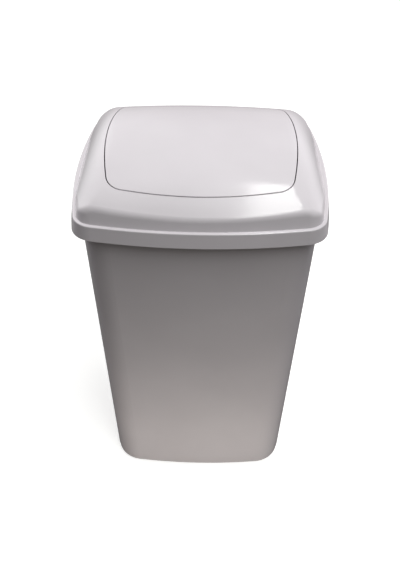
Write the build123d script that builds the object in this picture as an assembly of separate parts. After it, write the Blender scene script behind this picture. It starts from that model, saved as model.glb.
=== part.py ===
from build123d import *

import math
import os
from dataclasses import dataclass

# A tapered household waste bin with a lift-off lid and a flap that swings both ways.
# The origin is on the floor under the middle of the bin, +Z is up and the front is at -Y.
# All sizes are in millimetres.

# Lid: the flat ledge that lies on the rim, and the skirt that hangs round it
LEDGE_WIDTH = 400.0
LEDGE_DEPTH = 350.0
LEDGE_HEIGHT = 594.5
LEDGE_FRONT_BOW = 932.0
LEDGE_SIDE_BOW = 764.0
LEDGE_CORNER = 34.3
LEDGE_EDGE_RADIUS = 2.0
LID_WALL = 2.0
SKIRT_HEIGHT = 23.8
SKIRT_FLARE = 3.5

# Lid: the domed hood that rises from the ledge
TOTAL_HEIGHT = 662.8
DOME_INSET = 4.9
DOME_DRAFT = 15.0
DOME_FOOT_RADIUS = 1.0
SHOULDER_RADIUS = 15.0
CROWN_RADIUS_ACROSS = 1997.0
CROWN_RADIUS_ALONG = 349.0
SIDE_ROLL_OFF_DROP = 65.0
SIDE_ROLL_OFF_WIDTH = 61.0
FRONT_ROLL_OFF_DROP = 13.8
FRONT_ROLL_OFF_WIDTH = 56.1
ROLL_OFF_POWER = 2.16
ROLL_OFF_BLEND = 3.7

# Flap: the curved panel that fills the opening
FLAP_WIDTH = 295.4
FLAP_DEPTH = 273.6
FLAP_FRONT_BOW = 577.0
FLAP_SIDE_BOW = 552.0
FLAP_CORNER = 28.6
FLAP_WALL = 2.0
FLAP_GAP = 1.5
FLAP_RIB_INSET = 9.0
FLAP_RIB_WALL = 1.6
FLAP_RIB_DEPTH = 4.0
CROSS_RIB_SPACING = 44.0
PANEL_EDGE_RADIUS = 0.7
OPENING_FLANGE_DEPTH = 8.0

# Hinge: pins through the flap's cheeks, turning in two lugs under the hood
PIVOT_DROP = 25.0
PIN_DIAMETER = 7.0
PIN_HEAD_DIAMETER = 12.0
PIN_HEAD_THICKNESS = 2.5
PIN_RUNNING_CLEARANCE = 0.1
PIN_END_INSET = 0.5
CHEEK_THICKNESS = 3.0
CHEEK_INSET = 4.0
CHEEK_LENGTH = 110.0
CHEEK_DEPTH = 40.0
CHEEK_TOE = 26.0
CHEEK_TOE_RADIUS = 10.0
CHEEK_BOSS_LENGTH = 5.0
CHEEK_BOSS_WALL = 3.5
SIDE_PLAY = 0.6
LUG_THICKNESS = 3.0
LUG_WIDTH = 32.0
LUG_DEPTH = 24.0
LUG_BOSS_DIAMETER = 18.0
GUSSET_THICKNESS = 2.0
GUSSET_REACH = 16.0
GUSSET_DEPTH = 14.0

# Hinge: the pegs on each cheek that meet a stop on each lug
SWING_ANGLE = 75.0
STOP_WIDTH = 6.0
STOP_REACH = 22.0
STOP_PEG_DIAMETER = 6.0
STOP_PEG_RADIUS = 17.0
STOP_PEG_CLEARANCE = 0.3
STOP_PEG_END_GAP = 1.4

# Flap: the steel rod that brings it back to level
ROD_DIAMETER = 8.0
ROD_DROP = 30.0
ROD_END_INSET = 0.5

# Bin: tapered tub, given by its outer outline at the floor and at the rim
BASE_WIDTH = 322.3
BASE_DEPTH = 280.1
BASE_BOW = 1014.0
BASE_CORNER = 49.1
RIM_WALL_WIDTH = 374.5
RIM_WALL_DEPTH = 324.7
RIM_WALL_BOW = 1074.0
RIM_WALL_CORNER = 51.6
BIN_WALL = 2.2
FLOOR_LIFT = 6.0
FLOOR_THICKNESS = 2.5
FLOOR_CORNER_RADIUS = 8.0
FOOT_HEIGHT = 12.5
FOOT_STEP = 1.0
FOOT_RING = 5.0
FOOT_EDGE_RADIUS = 2.5
RIM_THICKNESS = 2.2
RIM_LIP_DEPTH = 19.5
RIM_CLEARANCE = 0.5
RIM_EDGE_RADIUS = 1.4

# Worked-out places
PIVOT_HEIGHT = TOTAL_HEIGHT - PIVOT_DROP
ROD_HEIGHT = PIVOT_HEIGHT - ROD_DROP
WALL_TOP = LEDGE_HEIGHT - LID_WALL
FLOOR_TOP = FLOOR_LIFT + FLOOR_THICKNESS
SKIRT_BOTTOM = LEDGE_HEIGHT - SKIRT_HEIGHT
DRAFT_SLOPE = math.tan(math.radians(DOME_DRAFT))
DOME_CORE_WALL = LID_WALL / math.cos(math.radians(DOME_DRAFT))
LUG_FACE = FLAP_WIDTH / 2 + FLAP_GAP
CHEEK_FACE = FLAP_WIDTH / 2 - CHEEK_INSET
PIN_REACH = LUG_FACE + LUG_THICKNESS - PIN_END_INSET
BOSS_END = CHEEK_FACE - CHEEK_THICKNESS - CHEEK_BOSS_LENGTH
OVERCUT = 10.0
LEVEL_MATCH = 0.01
CROWN_CELLS = 44
SLOPE_STEP = 0.5


@dataclass(frozen=True)
class Outline:
    """A rounded rectangle whose four sides are long bows, tangent to its corner arcs."""

    half_width: float
    half_depth: float
    front_bow: float
    side_bow: float
    corner: float

    def inset(self, distance):
        """The parallel outline that lies this far inside."""
        return Outline(
            self.half_width - distance,
            self.half_depth - distance,
            self.front_bow - distance,
            self.side_bow - distance,
            self.corner - distance,
        )

    def corner_points(self):
        """Start, middle and end of the corner arc in the +X +Y quarter."""
        side_centre = Vector(self.half_width - self.side_bow, 0)
        front_centre = Vector(0, self.half_depth - self.front_bow)
        from_side = self.side_bow - self.corner
        from_front = self.front_bow - self.corner
        between = front_centre - side_centre
        unit = between.normalized()
        span = between.length
        along = (from_side**2 - from_front**2 + span**2) / (2 * span)
        across = math.sqrt(from_side**2 - along**2)
        centre = side_centre + unit * along + Vector(-unit.Y, unit.X) * across
        to_side = (centre - side_centre).normalized()
        to_front = (centre - front_centre).normalized()
        directions = (to_side, (to_side + to_front).normalized(), to_front)
        return [centre + direction * self.corner for direction in directions]

    def face(self, height):
        """The flat face inside the outline, at this height."""
        corner = self.corner_points()
        quarters = (
            (1, 1, (0, self.half_depth)),
            (-1, 1, (-self.half_width, 0)),
            (-1, -1, (0, -self.half_depth)),
            (1, -1, (self.half_width, 0)),
        )
        ring = []
        for sign_x, sign_y, bow_middle in quarters:
            points = corner if sign_x == sign_y else corner[::-1]
            ring += [(sign_x * point.X, sign_y * point.Y, height) for point in points]
            ring.append((*bow_middle, height))
        ring.append(ring[0])
        arcs = []
        for start in range(0, len(ring) - 1, 2):
            arcs.append(Edge.make_three_point_arc(*ring[start:start + 3]))
        return Face(Wire(arcs))

    def prism(self, bottom, top):
        """An upright block with this outline."""
        return extrude(self.face(bottom), amount=top - bottom)


LEDGE = Outline(LEDGE_WIDTH / 2, LEDGE_DEPTH / 2, LEDGE_FRONT_BOW, LEDGE_SIDE_BOW, LEDGE_CORNER)
DOME = LEDGE.inset(DOME_INSET)
RIM = LEDGE.inset(LID_WALL + RIM_CLEARANCE)
FLAP = Outline(FLAP_WIDTH / 2, FLAP_DEPTH / 2, FLAP_FRONT_BOW, FLAP_SIDE_BOW, FLAP_CORNER)
OPENING = FLAP.inset(-FLAP_GAP)


def drafted(low, low_height, high, high_height):
    """A block whose walls run straight from one outline to another."""
    return loft([low.face(low_height), high.face(high_height)], ruled=True)


def level_face(solid, height):
    """The flat face of a solid that lies level at this height."""
    return [face for face in solid.faces() if abs(face.center().Z - height) < LEVEL_MATCH][0]


def rounded(solid, bounds, radius):
    """The solid with every edge that these faces or wires are bounded by rounded."""
    wanted = [edge for bound in bounds for edge in bound.edges()]
    edges = [edge for edge in solid.edges() if any(edge.is_same(other) for other in wanted)]
    return fillet(edges, radius)


def crown_height(x, y):
    """Height of the hood's outer skin: a long arch that rolls off towards its edges.

    The side roll-off is measured from the top of the arch, so the sides end on a nearly level line.
    """
    to_side = max(0.0, 1 - (DOME.half_width - abs(x)) / SIDE_ROLL_OFF_WIDTH)
    to_front = max(0.0, 1 - (DOME.half_depth - abs(y)) / FRONT_ROLL_OFF_WIDTH)
    fall = y**2 / (2 * CROWN_RADIUS_ALONG)
    side_drop = (SIDE_ROLL_OFF_DROP - fall) * to_side**ROLL_OFF_POWER
    front_drop = FRONT_ROLL_OFF_DROP * to_front**ROLL_OFF_POWER
    roll_off = (side_drop**ROLL_OFF_BLEND + front_drop**ROLL_OFF_BLEND) ** (1 / ROLL_OFF_BLEND)
    return TOTAL_HEIGHT - x**2 / (2 * CROWN_RADIUS_ACROSS) - fall - roll_off


def under_crown(wall=0.0, drop=0.0):
    """All that lies under the crown, sunk by a wall square to it or by a plain drop."""
    reach_x = DOME.half_width + OVERCUT
    reach_y = DOME.half_depth + OVERCUT
    rows = []
    for row in range(CROWN_CELLS + 1):
        y = reach_y * (2 * row / CROWN_CELLS - 1)
        points = []
        for column in range(CROWN_CELLS + 1):
            x = reach_x * (2 * column / CROWN_CELLS - 1)
            rise_x = crown_height(x + SLOPE_STEP, y) - crown_height(x - SLOPE_STEP, y)
            rise_y = crown_height(x, y + SLOPE_STEP) - crown_height(x, y - SLOPE_STEP)
            steepness = math.hypot(1, rise_x / (2 * SLOPE_STEP), rise_y / (2 * SLOPE_STEP))
            points.append(Vector(x, y, crown_height(x, y) - wall * steepness - drop))
        rows.append(points)
    skin = Face.make_surface_from_array_of_points(rows)
    return extrude(skin, amount=TOTAL_HEIGHT - SKIRT_BOTTOM + OVERCUT, dir=(0, 0, -1))


CROWN = under_crown()
CROWN_MIDDLE = under_crown(wall=LID_WALL / 2)
CROWN_BACK = under_crown(wall=LID_WALL)


def side_plate(start, profile, thickness):
    """A plate cut to a profile drawn in Y and Z, reaching out along +X from its start."""
    plane = Plane(origin=(start, 0, 0), x_dir=(0, 1, 0), z_dir=(1, 0, 0))
    return extrude(plane * profile, amount=thickness)


def barrel(diameter, start, end, y=0.0, height=PIVOT_HEIGHT):
    """A round bar along X from its start to its end."""
    return side_plate(start, Pos(y, height) * Circle(diameter / 2), end - start)


def both_sides(right_hand):
    """A right-hand shape together with its mirror image."""
    return right_hand + mirror(right_hand, about=Plane.YZ)


def dome(foot, crown, shoulder_radius):
    """A drafted block under a crown, with a rounded shoulder, running down past the ledge."""
    low = foot.inset((SKIRT_BOTTOM - LEDGE_HEIGHT) * DRAFT_SLOPE)
    high = foot.inset((TOTAL_HEIGHT - LEDGE_HEIGHT) * DRAFT_SLOPE)
    block = drafted(low, SKIRT_BOTTOM, high, TOTAL_HEIGHT) & crown
    return rounded(block, [block.faces().sort_by(Axis.Z)[-1]], shoulder_radius)


def lid_skin():
    """The hood, ledge and skirt as an empty shell, with the opening cut through."""
    skirt = drafted(LEDGE.inset(-SKIRT_FLARE), SKIRT_BOTTOM, LEDGE, LEDGE_HEIGHT)
    outside = skirt + dome(DOME, CROWN, SHOULDER_RADIUS)
    outside = rounded(outside, level_face(outside, LEDGE_HEIGHT).inner_wires(), DOME_FOOT_RADIUS)
    outside = rounded(outside, [level_face(outside, LEDGE_HEIGHT).outer_wire()], LEDGE_EDGE_RADIUS)
    inner_foot = LEDGE.inset(LID_WALL - SKIRT_FLARE)
    hollow = drafted(inner_foot, SKIRT_BOTTOM, LEDGE.inset(LID_WALL), WALL_TOP)
    hollow += dome(DOME.inset(DOME_CORE_WALL), CROWN_BACK, SHOULDER_RADIUS - LID_WALL)
    return outside - hollow - OPENING.prism(WALL_TOP, TOTAL_HEIGHT + OVERCUT)


def lid_lug():
    """The right-hand lug that a pin turns in, with its stop and its two gussets."""
    start = CHEEK_FACE + SIDE_PLAY
    outer = LUG_FACE + LUG_THICKNESS
    half = LUG_WIDTH / 2
    foot = PIVOT_HEIGHT - LUG_DEPTH + half
    upright = Pos(0, (foot + TOTAL_HEIGHT) / 2) * Rectangle(LUG_WIDTH, TOTAL_HEIGHT - foot)
    lug = side_plate(LUG_FACE, upright + Pos(0, foot) * Circle(half), LUG_THICKNESS)
    lug += barrel(LUG_BOSS_DIAMETER, start, outer)
    stop = Pos(0, PIVOT_HEIGHT - STOP_REACH / 2) * Rectangle(STOP_WIDTH, STOP_REACH)
    lug += side_plate(start, stop, outer - start)
    low = PIVOT_HEIGHT - GUSSET_DEPTH
    reach = outer + GUSSET_REACH
    corners = [(outer, low), (reach, low + GUSSET_REACH), (reach, TOTAL_HEIGHT), (outer, TOTAL_HEIGHT)]
    web = extrude(Plane.XZ * Polygon(*corners, align=None), amount=GUSSET_THICKNESS / 2, both=True)
    for side in (-1, 1):
        lug += Pos(0, side * (half - GUSSET_THICKNESS / 2), 0) * web
    bore = PIN_DIAMETER + 2 * PIN_RUNNING_CLEARANCE
    return (lug & CROWN_MIDDLE) - barrel(bore, start - OVERCUT, outer + OVERCUT)


def build_lid():
    """The whole lid moulding but for the flap."""
    collar = OPENING.inset(-LID_WALL).prism(WALL_TOP, TOTAL_HEIGHT) - OPENING.prism(WALL_TOP, TOTAL_HEIGHT)
    collar = (collar & CROWN_MIDDLE) - under_crown(drop=OPENING_FLANGE_DEPTH)
    return lid_skin() + collar + both_sides(lid_lug())


def flap_ribs():
    """A rib round the underside of the panel, and ribs from cheek to cheek."""
    rim = FLAP.inset(FLAP_RIB_INSET)
    ribs = rim.prism(WALL_TOP, TOTAL_HEIGHT) - rim.inset(FLAP_RIB_WALL).prism(WALL_TOP, TOTAL_HEIGHT)
    height = TOTAL_HEIGHT - WALL_TOP
    length = 2 * CHEEK_FACE - CHEEK_THICKNESS
    for y in (-CROSS_RIB_SPACING, 0, CROSS_RIB_SPACING):
        ribs += Pos(0, y, WALL_TOP + height / 2) * Box(length, FLAP_RIB_WALL, height)
    return (ribs & CROWN_MIDDLE) - under_crown(drop=FLAP_WALL + FLAP_RIB_DEPTH)


def flap_cheek():
    """The right-hand cheek under the flap, with its two bosses and its two stop pegs."""
    half_top = CHEEK_LENGTH / 2
    half_toe = CHEEK_TOE / 2
    low = PIVOT_HEIGHT - CHEEK_DEPTH
    right = [(half_toe, low), (half_top, PIVOT_HEIGHT), (half_top, TOTAL_HEIGHT)]
    left = [(-y, height) for y, height in right[::-1]]
    profile = Polygon(*right, *left, align=None)
    profile = fillet(profile.vertices().sort_by(Axis.Y)[:2], CHEEK_TOE_RADIUS)
    cheek = side_plate(CHEEK_FACE - CHEEK_THICKNESS, profile, CHEEK_THICKNESS) & CROWN_MIDDLE
    for diameter, height in ((PIN_DIAMETER, PIVOT_HEIGHT), (ROD_DIAMETER, ROD_HEIGHT)):
        cheek += barrel(diameter + 2 * CHEEK_BOSS_WALL, BOSS_END, CHEEK_FACE, height=height)
    for diameter, height in ((PIN_DIAMETER, PIVOT_HEIGHT), (ROD_DIAMETER, ROD_HEIGHT)):
        cheek -= barrel(diameter, BOSS_END - OVERCUT, CHEEK_FACE + OVERCUT, height=height)
    reach = STOP_WIDTH / 2 + STOP_PEG_DIAMETER / 2 + STOP_PEG_CLEARANCE
    angle = math.radians(SWING_ANGLE) + math.asin(reach / STOP_PEG_RADIUS)
    height = PIVOT_HEIGHT - STOP_PEG_RADIUS * math.cos(angle)
    for side in (-1, 1):
        y = side * STOP_PEG_RADIUS * math.sin(angle)
        cheek += barrel(STOP_PEG_DIAMETER, CHEEK_FACE, LUG_FACE - STOP_PEG_END_GAP, y, height)
    return cheek


def build_flap():
    """The curved panel with its ribs and cheeks."""
    block = FLAP.prism(WALL_TOP, TOTAL_HEIGHT + OVERCUT) & CROWN
    block = rounded(block, [block.faces().sort_by(Axis.Z)[-1]], PANEL_EDGE_RADIUS)
    return (block - CROWN_BACK) + flap_ribs() + both_sides(flap_cheek())


def build_pin():
    """The right-hand pin: headed on the inside of the cheek, turning in the lug."""
    head = barrel(PIN_HEAD_DIAMETER, BOSS_END - PIN_HEAD_THICKNESS, BOSS_END)
    return head + barrel(PIN_DIAMETER, BOSS_END, PIN_REACH)


def build_rod():
    """The steel rod that hangs below the pivots from cheek to cheek."""
    reach = CHEEK_FACE - ROD_END_INSET
    return barrel(ROD_DIAMETER, -reach, reach, height=ROD_HEIGHT)


def bin_outline(height, inset=0.0):
    """The tub's outer outline at any height, or one that lies a wall inside it."""
    share = height / WALL_TOP
    base = (BASE_WIDTH / 2, BASE_DEPTH / 2, BASE_BOW, BASE_BOW, BASE_CORNER)
    rim = (RIM_WALL_WIDTH / 2, RIM_WALL_DEPTH / 2, RIM_WALL_BOW, RIM_WALL_BOW, RIM_WALL_CORNER)
    return Outline(*(low + (high - low) * share for low, high in zip(base, rim))).inset(inset)


def tub(bottom, top, inset=0.0):
    """A stretch of the tub as a solid block."""
    return drafted(bin_outline(bottom, inset), bottom, bin_outline(top, inset), top)


def build_bin():
    """The tub with its stepped foot, its raised floor and its turned-down rim."""
    foot = tub(0, FOOT_HEIGHT, FOOT_STEP)
    foot = rounded(foot, [level_face(foot, 0)], FOOT_EDGE_RADIUS)
    flange = RIM.prism(WALL_TOP - RIM_LIP_DEPTH, WALL_TOP)
    flange = rounded(flange, [level_face(flange, WALL_TOP)], RIM_EDGE_RADIUS)
    flange -= RIM.inset(RIM_THICKNESS).prism(WALL_TOP - RIM_LIP_DEPTH, WALL_TOP - RIM_THICKNESS)
    hollow = tub(FLOOR_TOP, WALL_TOP + OVERCUT, BIN_WALL)
    hollow = rounded(hollow, [level_face(hollow, FLOOR_TOP)], FLOOR_CORNER_RADIUS)
    recess = bin_outline(0, FOOT_STEP + FOOT_RING).prism(0, FLOOR_LIFT)
    return foot + tub(FOOT_HEIGHT, WALL_TOP) + flange - hollow - recess


def main():
    """Build every piece and write each to its own file."""
    pin = build_pin()
    pieces = {
        "bin_body": build_bin(),
        "lid_hood": build_lid(),
        "swing_flap": build_flap(),
        "pivot_pin_right": pin,
        "pivot_pin_left": mirror(pin, about=Plane.YZ),
        "counterweight_rod": build_rod(),
    }
    os.makedirs("parts", exist_ok=True)
    for name, shape in pieces.items():
        export_step(shape, f"parts/{name}.step")
        size = shape.bounding_box().size
        print(f"{name}: {len(shape.solids())} solid, {size.X:.1f} x {size.Y:.1f} x {size.Z:.1f} mm")


main()
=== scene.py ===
# %% [markdown]
# # A household bin with a swing flap
#
# The bin is three plastic mouldings and three small pieces of hardware. A tapered tub stands on
# the floor. A lid with a low dome fits over its rim, and a curved flap fills the opening in the
# dome. Two plastic pins carry the flap, and a steel rod under it brings it back to level.
#
# Every shape is already right in the solid model, which is loaded below as a fixed frame. What is
# left for this file is the finish of each piece, the floor, the light and the camera. All lengths
# are in metres here, and millimetres are named as such.

from math import pi, radians

import bmesh
import bpy
from mathutils import Matrix, Vector


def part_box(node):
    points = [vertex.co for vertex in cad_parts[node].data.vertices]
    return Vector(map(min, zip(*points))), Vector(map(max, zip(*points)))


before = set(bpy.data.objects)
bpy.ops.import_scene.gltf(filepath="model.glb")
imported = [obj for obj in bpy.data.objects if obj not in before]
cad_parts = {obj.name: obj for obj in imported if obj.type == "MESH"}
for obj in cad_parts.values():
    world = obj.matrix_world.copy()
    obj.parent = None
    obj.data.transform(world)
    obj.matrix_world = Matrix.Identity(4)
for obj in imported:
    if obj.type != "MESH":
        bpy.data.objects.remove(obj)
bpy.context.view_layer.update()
MM = 0.001

for node_name in sorted(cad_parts):
    low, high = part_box(node_name)
    size = " x ".join(f"{(b - a) / MM:.1f}" for a, b in zip(low, high))
    print(f"{node_name}: {size} mm")

# %% [markdown]
# ## Colours and nodes
#
# Colours are given as the hex codes that a screen shows. A renderer adds up light, which needs
# linear values, so one function turns the codes into those.
#
# A material is a small graph of nodes. Placing and wiring each node by hand takes several lines
# apiece. One helper that adds a node, sets its values and wires its inputs keeps a whole
# material readable as a list of steps. Four steps come up again and again, so each has a helper
# of its own: noise with spots of a given size, a drift between two shades, a relief of a given
# height, and the surface that they feed.

# %% Colour and node helpers
SRGB_KNEE = 0.04045


def linear(code):
    """The linear colour, with an alpha of one, of a hex code such as C8C2C8."""
    channels = [int(code[start:start + 2], 16) / 255 for start in (0, 2, 4)]
    return [c / 12.92 if c <= SRGB_KNEE else ((c + 0.055) / 1.055) ** 2.4 for c in channels] + [1]


def add(tree, kind, settings=None, links=None):
    """Adds a node. Settings are its own properties or its inputs' values; links feed its inputs."""
    node = tree.nodes.new(kind)
    for key, value in (settings or {}).items():
        if isinstance(key, str) and hasattr(node, key):
            setattr(node, key, value)
        else:
            node.inputs[key].default_value = value
    for key, socket in (links or {}).items():
        tree.links.new(socket, node.inputs[key])
    return node


def new_material(name):
    """An empty material, its node tree, and the place on the object that its patterns follow."""
    material = bpy.data.materials.new(name)
    material.use_nodes = True
    tree = material.node_tree
    tree.nodes.clear()
    return material, tree, add(tree, "ShaderNodeTexCoord").outputs["Object"]


def noise(tree, place, spot_mm, detail=2.0):
    """Soft noise between 0 and 1, with spots of about this size."""
    spots = add(tree, "ShaderNodeTexNoise",
                {"Scale": 1 / (spot_mm * MM), "Detail": detail}, {"Vector": place})
    return spots.outputs["Fac"]


def two_tone(tree, factor, deep_code, light_code, start=0.0, end=1.0):
    """Runs from the deep shade to the light one while the factor goes from start to end."""
    ramp = add(tree, "ShaderNodeValToRGB", {}, {"Fac": factor})
    stops = ((start, deep_code), (end, light_code))
    for element, (position, code) in zip(ramp.color_ramp.elements, stops):
        element.position = position
        element.color = linear(code)
    return ramp.outputs["Color"]


def relief(tree, height, height_mm, under=None):
    """Bends the light as a relief of this height would. It can lie on top of another relief."""
    links = {"Height": height}
    if under:
        links["Normal"] = under
    bump = add(tree, "ShaderNodeBump", {"Strength": 1.0, "Distance": height_mm * MM}, links)
    return bump.outputs["Normal"]


def surface(tree, settings, links):
    """Ends a material with a surface shader that has these settings and links."""
    shader = add(tree, "ShaderNodeBsdfPrincipled", settings, links)
    add(tree, "ShaderNodeOutputMaterial", {}, {"Surface": shader.outputs["BSDF"]})


print("white in linear light:", linear("FFFFFF"))

# %% [markdown]
# ## The moulded plastic
#
# The tub, lid and flap are polypropylene, injection moulded in a polished steel mould and
# coloured right through in a pale lavender grey. What the eye sees is a soft gloss: a slightly
# blurred reflection over a milky body colour.
#
# A plain glossy shader looks like porcelain. Three things make it look moulded. The wall shrinks a
# little as it cools, so reflections bend in long, low waves. The mould's polish leaves a very fine
# grain that blurs them. The pigment isn't stirred in quite evenly, so the colour and the gloss
# drift a little from place to place.

# %% Polypropylene
PLASTIC_IOR = 1.49
PIGMENT_CLOUD_MM = 130
PIGMENT_DEEP_BELOW = 0.3
PIGMENT_LIGHT_ABOVE = 0.7
SHRINK_WAVE_MM = 90
SHRINK_WAVE_HEIGHT_MM = 0.05
MOULD_GRAIN_MM = 1.1
MOULD_GRAIN_HEIGHT_MM = 0.0012
SMOOTHER_BY = 0.03
ROUGHER_BY = 0.05
LID_ROUGHNESS = 0.15
FLAP_ROUGHNESS = 0.13
TUB_ROUGHNESS = 0.18


def moulded_polypropylene(name, deep_code, light_code, roughness):
    """Glossy moulded polypropylene that drifts between two close shades."""
    material, tree, place = new_material(name)
    cloud = noise(tree, place, PIGMENT_CLOUD_MM, detail=3.0)
    shade = two_tone(tree, cloud, deep_code, light_code, PIGMENT_DEEP_BELOW, PIGMENT_LIGHT_ABOVE)
    gloss = add(tree, "ShaderNodeMapRange",
                {"To Min": roughness - SMOOTHER_BY, "To Max": roughness + ROUGHER_BY},
                {"Value": cloud})
    waves = relief(tree, noise(tree, place, SHRINK_WAVE_MM, detail=1.0), SHRINK_WAVE_HEIGHT_MM)
    skin = relief(tree, noise(tree, place, MOULD_GRAIN_MM), MOULD_GRAIN_HEIGHT_MM, waves)
    surface(tree, {"IOR": PLASTIC_IOR},
            {"Base Color": shade, "Roughness": gloss.outputs["Result"], "Normal": skin})
    return material


lid_plastic = moulded_polypropylene("lid_polypropylene", "C8C2C7", "CDC7CC", LID_ROUGHNESS)
flap_plastic = moulded_polypropylene("flap_polypropylene", "C8C2C7", "CDC7CC", FLAP_ROUGHNESS)
tub_plastic = moulded_polypropylene("tub_polypropylene", "C6C0C5", "CBC5CA", TUB_ROUGHNESS)
print("moulded plastics:", lid_plastic.name, flap_plastic.name, tub_plastic.name)

# %% [markdown]
# ## The pins
#
# The two pins are acetal, a hard, waxy white plastic that turns without grease. It is moulded too,
# but left satin, and its surface scatters light more than the polished lid does.

# %% Acetal
ACETAL_IOR = 1.48
ACETAL_ROUGHNESS = 0.42
ACETAL_MOTTLE_MM = 4
ACETAL_GRAIN_MM = 0.5
ACETAL_GRAIN_HEIGHT_MM = 0.004

pin_plastic, tree, place = new_material("pin_acetal")
shade = two_tone(tree, noise(tree, place, ACETAL_MOTTLE_MM), "D6D3CC", "E3E0D9")
skin = relief(tree, noise(tree, place, ACETAL_GRAIN_MM), ACETAL_GRAIN_HEIGHT_MM)
surface(tree, {"IOR": ACETAL_IOR, "Roughness": ACETAL_ROUGHNESS},
        {"Base Color": shade, "Normal": skin})
print("pins:", pin_plastic.name)

# %% [markdown]
# ## The steel rod
#
# The rod is bright drawn steel. A bar is pulled through a round die, which leaves fine lines along
# its length. They stretch each highlight across the rod. Noise that is squeezed along X gives
# those lines, because the rod lies along X.

# %% Bright drawn steel
STEEL_ROUGHNESS = 0.3
DRAW_LINE_MM = 0.35
DRAW_LINE_STRETCH = 60
DRAW_LINE_HEIGHT_MM = 0.004

rod_steel, tree, place = new_material("rod_bright_drawn_steel")
stretched = add(tree, "ShaderNodeMapping", {"Scale": (1 / DRAW_LINE_STRETCH, 1, 1)},
                {"Vector": place})
lines = noise(tree, stretched.outputs["Vector"], DRAW_LINE_MM, detail=3.0)
shade = two_tone(tree, lines, "9A9A9C", "C9CACC")
surface(tree, {"Metallic": 1.0, "Roughness": STEEL_ROUGHNESS},
        {"Base Color": shade, "Normal": relief(tree, lines, DRAW_LINE_HEIGHT_MM)})
print("rod:", rod_steel.name)

# %% [markdown]
# ## Give every piece its finish
#
# The pieces of the solid model keep their shape. Each only has its material slot filled anew.

# %% Dress the pieces
FINISHES = {
    "bin_body": tub_plastic,
    "lid_hood": lid_plastic,
    "swing_flap": flap_plastic,
    "pivot_pin_left": pin_plastic,
    "pivot_pin_right": pin_plastic,
    "counterweight_rod": rod_steel,
}

for node_name, material in FINISHES.items():
    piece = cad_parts[node_name]
    for material_slot in piece.material_slots:
        material_slot.material = material
    print(f"{node_name}: {len(piece.data.polygons)} faces in {material.name}")

# %% [markdown]
# ## The floor
#
# The bin stands in a studio cove: a pale, matt floor that curves up into a wall all round, so no
# view has a horizon in it. Half of its outline is drawn as a flat line, a quarter circle and an
# upright line, and spun once round the Z axis.
#
# A white floor this close would fill the walls of the bin with light from below, and in the
# photograph they are darker than that. So only the camera sees the cove. Light that leaves the
# bin doesn't meet it and meets the dimmer room instead, and the cove casts no shadow on the bin.
# A glow of its own keeps the cove pale all over, as on a table lit from beneath.

# %% A pale studio cove
COVE_FLAT_RADIUS = 5.0
COVE_BEND_RADIUS = 3.0
COVE_WALL_TOP = 9.0
COVE_STEPS = 96
COVE_BEND_STEPS = 16
COVE_MOTTLE_MM = 700
COVE_ROUGHNESS = 0.9
COVE_GLOW = 0.45

cove_mesh = bmesh.new()
middle = cove_mesh.verts.new((0, 0, 0))
bend_start = cove_mesh.verts.new((COVE_FLAT_RADIUS, 0, 0))
cove_mesh.edges.new((middle, bend_start))
bmesh.ops.spin(cove_mesh, geom=[bend_start], cent=(COVE_FLAT_RADIUS, 0, COVE_BEND_RADIUS),
               axis=(0, -1, 0), angle=pi / 2, steps=COVE_BEND_STEPS)
bend_end = max(cove_mesh.verts, key=lambda vertex: vertex.co.z)
wall_top = cove_mesh.verts.new((bend_end.co.x, 0, COVE_WALL_TOP))
cove_mesh.edges.new((bend_end, wall_top))
bmesh.ops.spin(cove_mesh, geom=cove_mesh.verts[:] + cove_mesh.edges[:], cent=(0, 0, 0),
               axis=(0, 0, 1), angle=2 * pi, steps=COVE_STEPS, use_merge=True)
bmesh.ops.remove_doubles(cove_mesh, verts=cove_mesh.verts, dist=MM)
bmesh.ops.recalc_face_normals(cove_mesh, faces=cove_mesh.faces)
for face in cove_mesh.faces:
    face.smooth = True
cove_data = bpy.data.meshes.new("studio_cove")
cove_mesh.to_mesh(cove_data)
cove_mesh.free()
studio_cove = bpy.data.objects.new("studio_cove", cove_data)
bpy.context.scene.collection.objects.link(studio_cove)
studio_cove.visible_diffuse = False
studio_cove.visible_glossy = False
studio_cove.visible_shadow = False

cove_paint, tree, place = new_material("cove_matt_paint")
shade = two_tone(tree, noise(tree, place, COVE_MOTTLE_MM), "E0DFDE", "E3E2E1")
surface(tree, {"Roughness": COVE_ROUGHNESS, "Emission Color": linear("FFFFFF"),
               "Emission Strength": COVE_GLOW}, {"Base Color": shade})
studio_cove.data.materials.append(cove_paint)
print(f"cove: {len(studio_cove.data.polygons)} faces")

# %% [markdown]
# ## The light
#
# The lid is bright and the walls are mid grey, so most of the light comes from above. A wide
# soft box overhead and to the right runs from front to back. Its reflection is the white
# highlight on the right front of the flap and of the dome. The room adds light from high on the
# right and from both sides behind the bin, and stays dim in front of it.
#
# The walls of the tub grow lighter towards the floor, as they do beside a lit table top. A low,
# wide lamp close to the foot does the same. It is kept out of reflections, because the lit table
# has no sharp edge to reflect.

# %% Soft boxes
STRIP_PLACE = (0.5, -0.8, 2.6)
STRIP_TARGET = (0.5, -0.8, 0.0)
STRIP_SIZE = (0.42, 2.8)
STRIP_WATTS = 32
FOOT_PLACE = (0.03, -0.46, 0.03)
FOOT_TARGET = (0.03, 0.0, 0.03)
FOOT_SIZE = (0.9, 0.06)
FOOT_WATTS = 1.08


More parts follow.
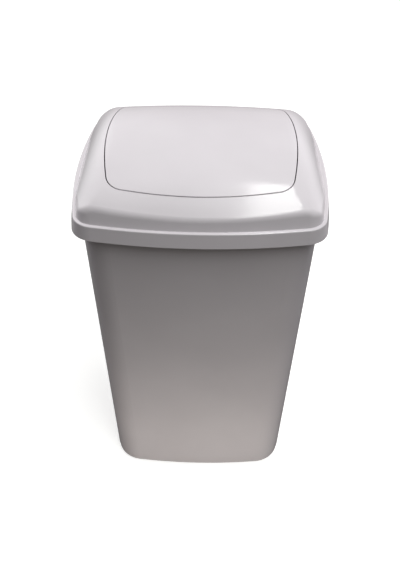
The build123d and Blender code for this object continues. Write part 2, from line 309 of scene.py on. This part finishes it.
def soft_box(name, place, target, size, watts, code):
    """A rectangular lamp that faces its target. Its second side runs along Y, or upright."""
    light = bpy.data.lights.new(name, "AREA")
    light.shape = "RECTANGLE"
    light.size, light.size_y = size
    light.energy = watts
    light.color = linear(code)[:3]
    lamp = bpy.data.objects.new(name, light)
    lamp.location = place
    lamp.rotation_euler = (Vector(target) - Vector(place)).to_track_quat("-Z", "Y").to_euler()
    lamp.visible_camera = False
    bpy.context.scene.collection.objects.link(lamp)
    print(f"{name}: {size[0]} x {size[1]} m, {watts} W")
    return lamp


soft_box("overhead_strip", STRIP_PLACE, STRIP_TARGET, STRIP_SIZE, STRIP_WATTS, "FDFFFC")
foot_glow = soft_box("foot_glow", FOOT_PLACE, FOOT_TARGET, FOOT_SIZE, FOOT_WATTS, "FFFAEE")
foot_glow.visible_glossy = False

# %% [markdown]
# ### The room
#
# The room is drawn on the sky that surrounds the scene, as a sum of soft patches of light. A dot
# product says how far any direction leans towards the middle of a patch, and a high power of it
# makes the patch fade out evenly. Each patch below has a name, the direction of its middle, a
# strength and a colour. The patch low in front stands for the lit floor there.

# %% The room's light
PANEL_SHARPNESS = 8.0


def panel(tree, direction, towards, strength, code):
    """A soft patch of light on the sky, brightest towards one direction, as a shader socket."""
    lean = add(tree, "ShaderNodeVectorMath",
               {"operation": "DOT_PRODUCT", 1: Vector(towards).normalized()}, {0: direction})
    facing = add(tree, "ShaderNodeMath", {"operation": "MAXIMUM", 1: 0.0},
                 {0: lean.outputs["Value"]})
    patch = add(tree, "ShaderNodeMath", {"operation": "POWER", 1: PANEL_SHARPNESS},
                {0: facing.outputs["Value"]})
    level = add(tree, "ShaderNodeMath", {"operation": "MULTIPLY", 1: strength},
                {0: patch.outputs["Value"]})
    glow = add(tree, "ShaderNodeBackground", {"Color": linear(code)},
               {"Strength": level.outputs["Value"]})
    return glow.outputs["Background"]


ROOM_PANELS = (
    ("overhead", (0.0, 0.0, 1.0), 0.5, "F8FFFA"),
    ("front_right_high", (0.43, -0.25, 0.87), 1.85, "FCFFFD"),
    ("front_left_high", (-0.43, -0.25, 0.87), 0.32, "FFFFFF"),
    ("back_left_high", (-0.43, 0.25, 0.87), 0.23, "FFFFFF"),
    ("back_left", (-0.61, 0.61, 0.5), 1.9, "FFFFFF"),
    ("back_right", (0.61, 0.61, 0.5), 0.6, "FFFFFF"),
    ("back_left_low", (-0.71, 0.71, 0.0), 1.3, "FFFFFF"),
    ("back_low", (0.0, 1.0, 0.0), 0.2, "FFEFF0"),
    ("back_right_low", (0.71, 0.71, 0.0), 1.38, "FFFCFF"),
    ("front_low", (0.0, -0.87, -0.5), 0.18, "FFFCF6"),
)

room = bpy.data.worlds.new("studio_room")
room.use_nodes = True
tree = room.node_tree
tree.nodes.clear()
direction = add(tree, "ShaderNodeTexCoord").outputs["Generated"]
total = None
for panel_name, towards, strength, code in ROOM_PANELS:
    glow = panel(tree, direction, towards, strength, code)
    if total:
        glow = add(tree, "ShaderNodeAddShader", {}, {0: total, 1: glow}).outputs["Shader"]
    total = glow
    print(f"{panel_name}: towards {towards}, {strength}")
add(tree, "ShaderNodeOutputWorld", {}, {"Surface": total})
bpy.context.scene.world = room
bpy.context.scene.view_settings.view_transform = "Standard"

# %% [markdown]
# ## The camera
#
# The photograph was taken from about a metre in front of the middle of the bin, and about twice
# as high as the bin is tall, looking down at it. The place and angles below come from fitting the
# ledge, the dome, the flap's gap and the tub's sides to the photograph. The middle of the lens's
# view lies a little above the middle of the picture, so the lens is shifted by as much. Its focal
# length is given for a film 36 mm on its long side.

# %% Camera
PHOTO_HEIGHT_PX = 570
FOCAL_LENGTH_PX = 755.5
VIEW_MIDDLE_ROW_PX = 249.0
FILM_MM = 36.0
CAMERA_PLACE = (0.0125, -1.0303, 1.2569)
LOOK_DOWN = radians(38.84)
TURN_LEFT = radians(0.74)
TILT = radians(0.53)

camera_data = bpy.data.cameras.new("photo_camera")
camera_data.sensor_width = FILM_MM
camera_data.lens = FOCAL_LENGTH_PX * FILM_MM / PHOTO_HEIGHT_PX
camera_data.shift_y = (VIEW_MIDDLE_ROW_PX - PHOTO_HEIGHT_PX / 2) / PHOTO_HEIGHT_PX
camera = bpy.data.objects.new("photo_camera", camera_data)
turn = Matrix.Rotation(TURN_LEFT, 4, "Z")
look_down = Matrix.Rotation(pi / 2 - LOOK_DOWN, 4, "X")
tilt = Matrix.Rotation(TILT, 4, "Z")
camera.matrix_world = Matrix.Translation(CAMERA_PLACE) @ turn @ look_down @ tilt
bpy.context.scene.collection.objects.link(camera)
bpy.context.scene.camera = camera
print(f"camera: {camera_data.lens:.1f} mm lens, shifted {camera_data.shift_y:.3f}")

# %% [markdown]
# ## The size
#
# Materials don't change a size, so the dressed bin has to be as big as the solid model.

# %% Sizes
print("materials change no size")
